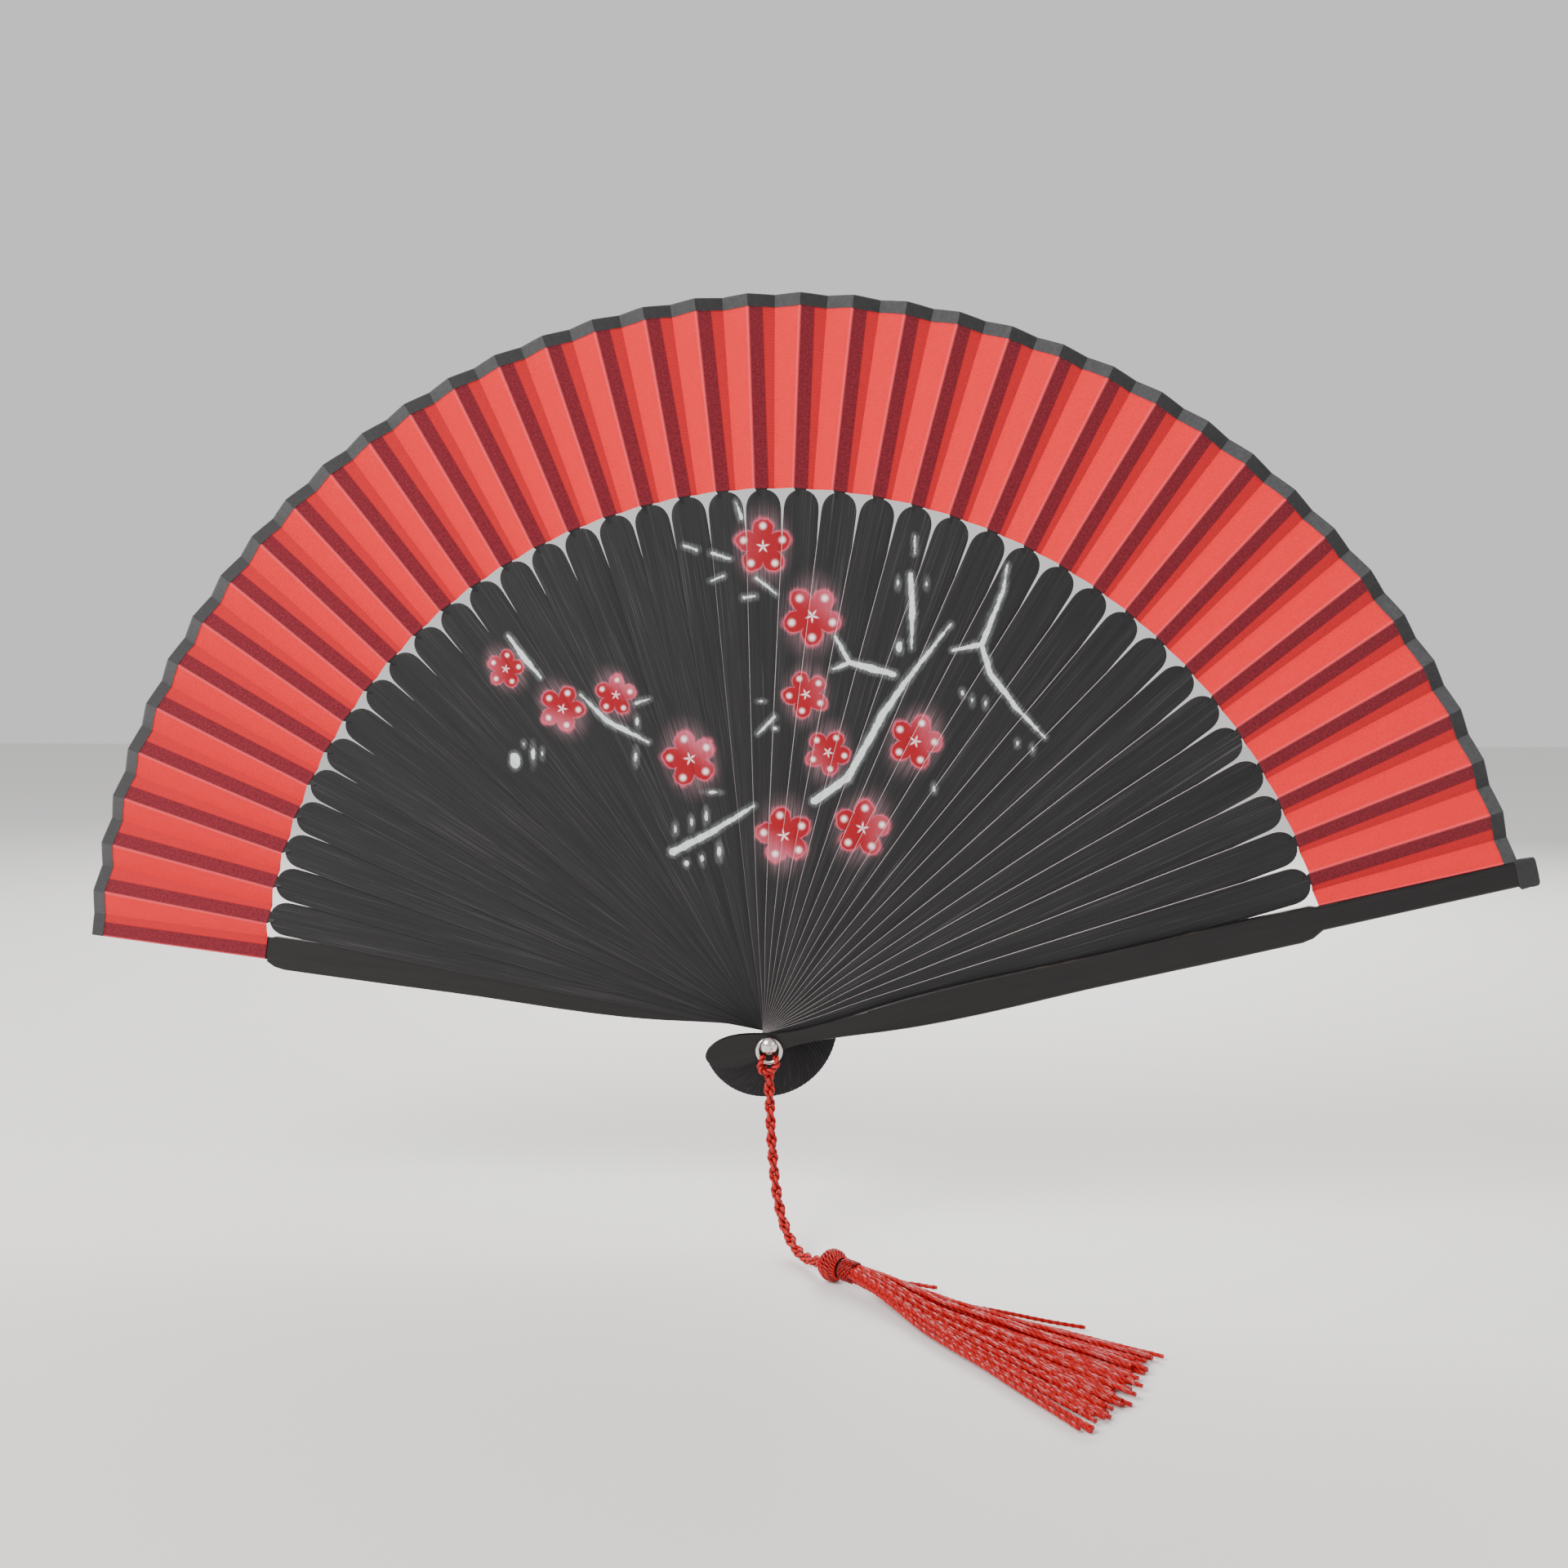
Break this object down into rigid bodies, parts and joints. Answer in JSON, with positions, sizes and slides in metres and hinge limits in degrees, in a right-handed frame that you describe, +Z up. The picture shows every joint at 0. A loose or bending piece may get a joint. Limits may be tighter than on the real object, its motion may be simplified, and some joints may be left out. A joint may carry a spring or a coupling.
{
  "type": "folding hand fan",
  "caption": "Open pleated folding fan: flat dark sticks on one rivet, thicker guards, a thin cloth leaf with an edge ribbon, and a corded tassel on a wire ring.",
  "frame": {"origin": "on the rivet's axis, in the middle of the stack of sticks, where a hand holds the heads", "axes": "+Z points up through the middle of the open leaf, -Y is the painted front, the rivet runs along Y, and the front guard points to +X"},
  "size_m": [0.3768, 0.1222, 0.2396],
  "materials": {
    "stick_black": "black-dyed, smooth, thinly lacquered",
    "guard_black": "black lacquer, polished",
    "leaf_red": "thin ribbed cloth, slightly see-through",
    "ribbon_black": "woven ribbon, matt",
    "nickel": "bright nickel plate",
    "tassel_red": "shiny twisted thread"
  },
  "bodies": {
    "rib_20": {"rib_20": "stick_black", "leaf": "leaf_red", "edge_ribbon": "ribbon_black", "rivet_pin": "nickel", "rivet_front_dome": "nickel", "rivet_washer": "nickel", "rivet_back_dome": "nickel", "tassel_cord": "tassel_red", "tassel_knob": "tassel_red", "tassel_binding": "tassel_red", "tassel_skirt": "tassel_red"},
    "front_guard": {"front_guard": "guard_black"},
    "rib_01": {"rib_01": "stick_black"},
    "rib_02": {"rib_02": "stick_black"},
    "rib_03": {"rib_03": "stick_black"},
    "rib_04": {"rib_04": "stick_black"},
    "rib_05": {"rib_05": "stick_black"},
    "rib_06": {"rib_06": "stick_black"},
    "rib_07": {"rib_07": "stick_black"},
    "rib_08": {"rib_08": "stick_black"},
    "rib_09": {"rib_09": "stick_black"},
    "rib_10": {"rib_10": "stick_black"},
    "rib_11": {"rib_11": "stick_black"},
    "rib_12": {"rib_12": "stick_black"},
    "rib_13": {"rib_13": "stick_black"},
    "rib_14": {"rib_14": "stick_black"},
    "rib_15": {"rib_15": "stick_black"},
    "rib_16": {"rib_16": "stick_black"},
    "rib_17": {"rib_17": "stick_black"},
    "rib_18": {"rib_18": "stick_black"},
    "rib_19": {"rib_19": "stick_black"},
    "rib_21": {"rib_21": "stick_black"},
    "rib_22": {"rib_22": "stick_black"},
    "rib_23": {"rib_23": "stick_black"},
    "rib_24": {"rib_24": "stick_black"},
    "rib_25": {"rib_25": "stick_black"},
    "rib_26": {"rib_26": "stick_black"},
    "rib_27": {"rib_27": "stick_black"},
    "rib_28": {"rib_28": "stick_black"},
    "rib_29": {"rib_29": "stick_black"},
    "rib_30": {"rib_30": "stick_black"},
    "rib_31": {"rib_31": "stick_black"},
    "rib_32": {"rib_32": "stick_black"},
    "rib_33": {"rib_33": "stick_black"},
    "rib_34": {"rib_34": "stick_black"},
    "rib_35": {"rib_35": "stick_black"},
    "rib_36": {"rib_36": "stick_black"},
    "rib_37": {"rib_37": "stick_black"},
    "rib_38": {"rib_38": "stick_black"},
    "rear_guard": {"rear_guard": "guard_black"},
    "ring": {"tassel_ring": "nickel", "tassel_hitch": "tassel_red"}
  },
  "joints": [
    {"name": "fan_fold", "type": "hinge", "parent": "rib_20", "child": "rib_19", "pos_m": [0, 0, 0], "axis": [0, -1, 0], "range_deg": [0, 4.08], "deforming": ["leaf", "edge_ribbon"]},
    {"name": "rib_18_fold", "type": "hinge", "parent": "rib_19", "child": "rib_18", "pos_m": [0, 0, 0], "axis": [0, -1, 0], "range_deg": [0, 4.08]},
    {"name": "rib_17_fold", "type": "hinge", "parent": "rib_18", "child": "rib_17", "pos_m": [0, 0, 0], "axis": [0, -1, 0], "range_deg": [0, 4.08]},
    {"name": "rib_16_fold", "type": "hinge", "parent": "rib_17", "child": "rib_16", "pos_m": [0, 0, 0], "axis": [0, -1, 0], "range_deg": [0, 4.08]},
    {"name": "rib_15_fold", "type": "hinge", "parent": "rib_16", "child": "rib_15", "pos_m": [0, 0, 0], "axis": [0, -1, 0], "range_deg": [0, 4.08]},
    {"name": "rib_14_fold", "type": "hinge", "parent": "rib_15", "child": "rib_14", "pos_m": [0, 0, 0], "axis": [0, -1, 0], "range_deg": [0, 4.08]},
    {"name": "rib_13_fold", "type": "hinge", "parent": "rib_14", "child": "rib_13", "pos_m": [0, 0, 0], "axis": [0, -1, 0], "range_deg": [0, 4.08]},
    {"name": "rib_12_fold", "type": "hinge", "parent": "rib_13", "child": "rib_12", "pos_m": [0, 0, 0], "axis": [0, -1, 0], "range_deg": [0, 4.08]},
    {"name": "rib_11_fold", "type": "hinge", "parent": "rib_12", "child": "rib_11", "pos_m": [0, 0, 0], "axis": [0, -1, 0], "range_deg": [0, 4.08]},
    {"name": "rib_10_fold", "type": "hinge", "parent": "rib_11", "child": "rib_10", "pos_m": [0, 0, 0], "axis": [0, -1, 0], "range_deg": [0, 4.08]},
    {"name": "rib_09_fold", "type": "hinge", "parent": "rib_10", "child": "rib_09", "pos_m": [0, 0, 0], "axis": [0, -1, 0], "range_deg": [0, 4.08]},
    {"name": "rib_08_fold", "type": "hinge", "parent": "rib_09", "child": "rib_08", "pos_m": [0, 0, 0], "axis": [0, -1, 0], "range_deg": [0, 4.08]},
    {"name": "rib_07_fold", "type": "hinge", "parent": "rib_08", "child": "rib_07", "pos_m": [0, 0, 0], "axis": [0, -1, 0], "range_deg": [0, 4.08]},
    {"name": "rib_06_fold", "type": "hinge", "parent": "rib_07", "child": "rib_06", "pos_m": [0, 0, 0], "axis": [0, -1, 0], "range_deg": [0, 4.08]},
    {"name": "rib_05_fold", "type": "hinge", "parent": "rib_06", "child": "rib_05", "pos_m": [0, 0, 0], "axis": [0, -1, 0], "range_deg": [0, 4.08]},
    {"name": "rib_04_fold", "type": "hinge", "parent": "rib_05", "child": "rib_04", "pos_m": [0, 0, 0], "axis": [0, -1, 0], "range_deg": [0, 4.08]},
    {"name": "rib_03_fold", "type": "hinge", "parent": "rib_04", "child": "rib_03", "pos_m": [0, 0, 0], "axis": [0, -1, 0], "range_deg": [0, 4.08]},
    {"name": "rib_02_fold", "type": "hinge", "parent": "rib_03", "child": "rib_02", "pos_m": [0, 0, 0], "axis": [0, -1, 0], "range_deg": [0, 4.08]},
    {"name": "rib_01_fold", "type": "hinge", "parent": "rib_02", "child": "rib_01", "pos_m": [0, 0, 0], "axis": [0, -1, 0], "range_deg": [0, 4.08]},
    {"name": "front_guard_fold", "type": "hinge", "parent": "rib_01", "child": "front_guard", "pos_m": [0, 0, 0], "axis": [0, -1, 0], "range_deg": [0, 4.08]},
    {"name": "rib_21_fold", "type": "hinge", "parent": "rib_20", "child": "rib_21", "pos_m": [0, 0, 0], "axis": [0, 1, 0], "range_deg": [0, 4.08]},
    {"name": "rib_22_fold", "type": "hinge", "parent": "rib_21", "child": "rib_22", "pos_m": [0, 0, 0], "axis": [0, 1, 0], "range_deg": [0, 4.08]},
    {"name": "rib_23_fold", "type": "hinge", "parent": "rib_22", "child": "rib_23", "pos_m": [0, 0, 0], "axis": [0, 1, 0], "range_deg": [0, 4.08]},
    {"name": "rib_24_fold", "type": "hinge", "parent": "rib_23", "child": "rib_24", "pos_m": [0, 0, 0], "axis": [0, 1, 0], "range_deg": [0, 4.08]},
    {"name": "rib_25_fold", "type": "hinge", "parent": "rib_24", "child": "rib_25", "pos_m": [0, 0, 0], "axis": [0, 1, 0], "range_deg": [0, 4.08]},
    {"name": "rib_26_fold", "type": "hinge", "parent": "rib_25", "child": "rib_26", "pos_m": [0, 0, 0], "axis": [0, 1, 0], "range_deg": [0, 4.08]},
    {"name": "rib_27_fold", "type": "hinge", "parent": "rib_26", "child": "rib_27", "pos_m": [0, 0, 0], "axis": [0, 1, 0], "range_deg": [0, 4.08]},
    {"name": "rib_28_fold", "type": "hinge", "parent": "rib_27", "child": "rib_28", "pos_m": [0, 0, 0], "axis": [0, 1, 0], "range_deg": [0, 4.08]},
    {"name": "rib_29_fold", "type": "hinge", "parent": "rib_28", "child": "rib_29", "pos_m": [0, 0, 0], "axis": [0, 1, 0], "range_deg": [0, 4.08]},
    {"name": "rib_30_fold", "type": "hinge", "parent": "rib_29", "child": "rib_30", "pos_m": [0, 0, 0], "axis": [0, 1, 0], "range_deg": [0, 4.08]},
    {"name": "rib_31_fold", "type": "hinge", "parent": "rib_30", "child": "rib_31", "pos_m": [0, 0, 0], "axis": [0, 1, 0], "range_deg": [0, 4.08]},
    {"name": "rib_32_fold", "type": "hinge", "parent": "rib_31", "child": "rib_32", "pos_m": [0, 0, 0], "axis": [0, 1, 0], "range_deg": [0, 4.08]},
    {"name": "rib_33_fold", "type": "hinge", "parent": "rib_32", "child": "rib_33", "pos_m": [0, 0, 0], "axis": [0, 1, 0], "range_deg": [0, 4.08]},
    {"name": "rib_34_fold", "type": "hinge", "parent": "rib_33", "child": "rib_34", "pos_m": [0, 0, 0], "axis": [0, 1, 0], "range_deg": [0, 4.08]},
    {"name": "rib_35_fold", "type": "hinge", "parent": "rib_34", "child": "rib_35", "pos_m": [0, 0, 0], "axis": [0, 1, 0], "range_deg": [0, 4.08]},
    {"name": "rib_36_fold", "type": "hinge", "parent": "rib_35", "child": "rib_36", "pos_m": [0, 0, 0], "axis": [0, 1, 0], "range_deg": [0, 4.08]},
    {"name": "rib_37_fold", "type": "hinge", "parent": "rib_36", "child": "rib_37", "pos_m": [0, 0, 0], "axis": [0, 1, 0], "range_deg": [0, 4.08]},
    {"name": "rib_38_fold", "type": "hinge", "parent": "rib_37", "child": "rib_38", "pos_m": [0, 0, 0], "axis": [0, 1, 0], "range_deg": [0, 4.08]},
    {"name": "rear_guard_fold", "type": "hinge", "parent": "rib_38", "child": "rear_guard", "pos_m": [0, 0, 0], "axis": [0, 1, 0], "range_deg": [0, 4.08]},
    {"name": "ring_swing", "type": "hinge", "parent": "rib_20", "child": "ring", "pos_m": [0, -0.01425, 0], "axis": [0, 1, 0], "range_deg": [-35, 35], "deforming": ["tassel_cord"]}
  ],
  "couplings": [
    {"joint": "rib_18_fold", "follows": "fan_fold", "ratio": 1},
    {"joint": "rib_17_fold", "follows": "fan_fold", "ratio": 1},
    {"joint": "rib_16_fold", "follows": "fan_fold", "ratio": 1},
    {"joint": "rib_15_fold", "follows": "fan_fold", "ratio": 1},
    {"joint": "rib_14_fold", "follows": "fan_fold", "ratio": 1},
    {"joint": "rib_13_fold", "follows": "fan_fold", "ratio": 1},
    {"joint": "rib_12_fold", "follows": "fan_fold", "ratio": 1},
    {"joint": "rib_11_fold", "follows": "fan_fold", "ratio": 1},
    {"joint": "rib_10_fold", "follows": "fan_fold", "ratio": 1},
    {"joint": "rib_09_fold", "follows": "fan_fold", "ratio": 1},
    {"joint": "rib_08_fold", "follows": "fan_fold", "ratio": 1},
    {"joint": "rib_07_fold", "follows": "fan_fold", "ratio": 1},
    {"joint": "rib_06_fold", "follows": "fan_fold", "ratio": 1},
    {"joint": "rib_05_fold", "follows": "fan_fold", "ratio": 1},
    {"joint": "rib_04_fold", "follows": "fan_fold", "ratio": 1},
    {"joint": "rib_03_fold", "follows": "fan_fold", "ratio": 1},
    {"joint": "rib_02_fold", "follows": "fan_fold", "ratio": 1},
    {"joint": "rib_01_fold", "follows": "fan_fold", "ratio": 1},
    {"joint": "front_guard_fold", "follows": "fan_fold", "ratio": 1},
    {"joint": "rib_21_fold", "follows": "fan_fold", "ratio": 1},
    {"joint": "rib_22_fold", "follows": "fan_fold", "ratio": 1},
    {"joint": "rib_23_fold", "follows": "fan_fold", "ratio": 1},
    {"joint": "rib_24_fold", "follows": "fan_fold", "ratio": 1},
    {"joint": "rib_25_fold", "follows": "fan_fold", "ratio": 1},
    {"joint": "rib_26_fold", "follows": "fan_fold", "ratio": 1},
    {"joint": "rib_27_fold", "follows": "fan_fold", "ratio": 1},
    {"joint": "rib_28_fold", "follows": "fan_fold", "ratio": 1},
    {"joint": "rib_29_fold", "follows": "fan_fold", "ratio": 1},
    {"joint": "rib_30_fold", "follows": "fan_fold", "ratio": 1},
    {"joint": "rib_31_fold", "follows": "fan_fold", "ratio": 1},
    {"joint": "rib_32_fold", "follows": "fan_fold", "ratio": 1},
    {"joint": "rib_33_fold", "follows": "fan_fold", "ratio": 1},
    {"joint": "rib_34_fold", "follows": "fan_fold", "ratio": 1},
    {"joint": "rib_35_fold", "follows": "fan_fold", "ratio": 1},
    {"joint": "rib_36_fold", "follows": "fan_fold", "ratio": 1},
    {"joint": "rib_37_fold", "follows": "fan_fold", "ratio": 1},
    {"joint": "rib_38_fold", "follows": "fan_fold", "ratio": 1},
    {"joint": "rear_guard_fold", "follows": "fan_fold", "ratio": 1}
  ]
}
